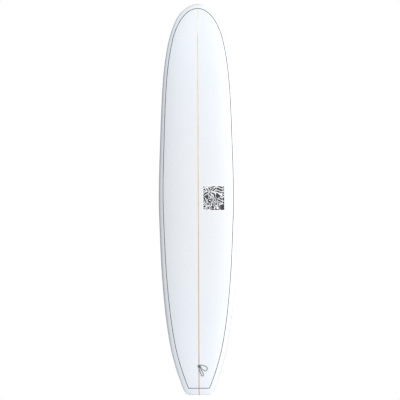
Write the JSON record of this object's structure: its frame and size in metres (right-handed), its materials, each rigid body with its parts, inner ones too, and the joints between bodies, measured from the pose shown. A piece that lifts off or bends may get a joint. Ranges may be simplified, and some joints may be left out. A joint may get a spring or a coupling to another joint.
{
  "type": "longboard surfboard",
  "caption": "Square-tail longboard surfboard: foam blank with a wooden stringer, glass skins, pinline, a slotted box with a sliding single fin, and a leash cup with its string.",
  "frame": {"origin": "middle of the tail's square end, on the stringer, where the board stands", "axes": "+Z along the board to the nose, -Y out of the deck, +X to the right of a viewer of the deck"},
  "size_m": [0.584, 0.333, 2.896],
  "materials": {
    "foam_left_tail": "shaped polyurethane foam",
    "foam_left_hip": "shaped polyurethane foam",
    "foam_left_waist": "shaped polyurethane foam",
    "foam_left_shoulder": "shaped polyurethane foam",
    "foam_left_nose": "shaped polyurethane foam",
    "foam_right_tail": "shaped polyurethane foam",
    "foam_right_hip": "shaped polyurethane foam",
    "foam_right_waist": "shaped polyurethane foam",
    "foam_right_shoulder": "shaped polyurethane foam",
    "foam_right_nose": "shaped polyurethane foam",
    "stringer_tail_wood": "sanded softwood under clear resin",
    "stringer_heel_wood": "sanded softwood under clear resin",
    "stringer_web_wood": "sanded softwood under clear resin",
    "stringer_bridge_wood": "sanded softwood under clear resin",
    "stringer_hip_wood": "sanded softwood under clear resin",
    "stringer_waist_wood": "sanded softwood under clear resin",
    "stringer_shoulder_wood": "sanded softwood under clear resin",
    "stringer_nose_wood": "sanded softwood under clear resin",
    "deck_skin": "polished glass-fibre laminate, white",
    "bottom_skin": "polished glass-fibre laminate, white",
    "pinline_resin": "dark pigmented resin under gloss",
    "decal_paper": "printed paper under gloss resin",
    "box_plastic": "moulded, sanded flush",
    "box_bed": "cast resin",
    "fin_fibreglass": "polished glass-fibre panel",
    "pin_brass": "drawn",
    "plate_steel": "stamped",
    "screw_steel": "machined",
    "cup_plastic": "moulded",
    "cup_bed": "cast resin",
    "bar_steel": "drawn",
    "string_cord": "braided polyester"
  },
  "bodies": {
    "board": {"blank_left_tail": "foam_left_tail", "blank_left_hip": "foam_left_hip", "blank_left_waist": "foam_left_waist", "blank_left_shoulder": "foam_left_shoulder", "blank_left_nose": "foam_left_nose", "blank_right_tail": "foam_right_tail", "blank_right_hip": "foam_right_hip", "blank_right_waist": "foam_right_waist", "blank_right_shoulder": "foam_right_shoulder", "blank_right_nose": "foam_right_nose", "stringer_tail": "stringer_tail_wood", "stringer_heel": "stringer_heel_wood", "stringer_web": "stringer_web_wood", "stringer_bridge": "stringer_bridge_wood", "stringer_hip": "stringer_hip_wood", "stringer_waist": "stringer_waist_wood", "stringer_shoulder": "stringer_shoulder_wood", "stringer_nose": "stringer_nose_wood", "deck_glass": "deck_skin", "bottom_glass": "bottom_skin", "deck_pinline": "pinline_resin", "deck_decal": "decal_paper", "fin_box": "box_plastic", "fin_box_resin": "box_bed", "leash_cup": "cup_plastic", "leash_cup_resin": "cup_bed", "leash_bar": "bar_steel", "leash_string": "string_cord"},
    "fin_unit": {"fin": "fin_fibreglass", "fin_roll_pin": "pin_brass", "fin_plate": "plate_steel"},
    "screw": {"fin_screw": "screw_steel"}
  },
  "joints": [
    {"name": "fin_slide", "type": "slide", "parent": "board", "child": "fin_unit", "axis": [0, 0.0872, 0.9962], "range_m": [-0.038, 0.038]},
    {"name": "fin_screw_turn", "type": "hinge", "parent": "fin_unit", "child": "screw", "pos_m": [0, 0.04795, 0.37571], "axis": [0, 0.9962, -0.0872], "continuous": true}
  ]
}
